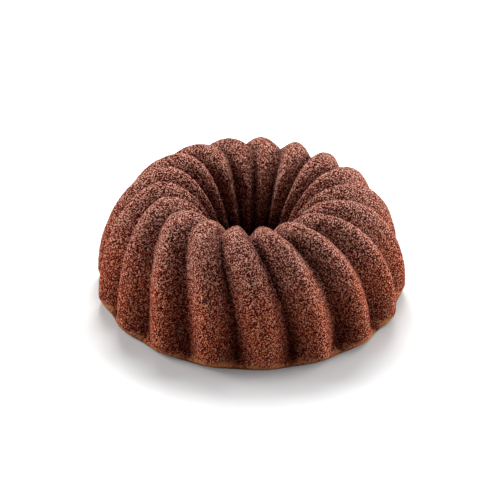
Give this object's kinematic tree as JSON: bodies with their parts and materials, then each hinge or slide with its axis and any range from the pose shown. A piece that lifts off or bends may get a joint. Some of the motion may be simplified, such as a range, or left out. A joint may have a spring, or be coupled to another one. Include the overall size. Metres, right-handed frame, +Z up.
{
  "type": "fluted ring cake",
  "caption": "Swirled ring cake with a fluted chocolate crust, soft crumb inside it, a flat base that turns up into a smooth lip, and a hole through its centre.",
  "frame": {"origin": "on the axis of the ring, in the plane that the cake stands on", "axes": "+Z up along the axis of the ring, through the centre of the hole; -Y towards the side that the picture shows"},
  "size_m": [0.2394, 0.2388, 0.09],
  "materials": {
    "chocolate_crust": "matte",
    "chocolate_crumb": "matte",
    "golden_crust": "matte"
  },
  "bodies": {
    "root": {"fluted_crust": "chocolate_crust", "crumb": "chocolate_crumb", "base_crust": "golden_crust"}
  },
  "joints": []
}
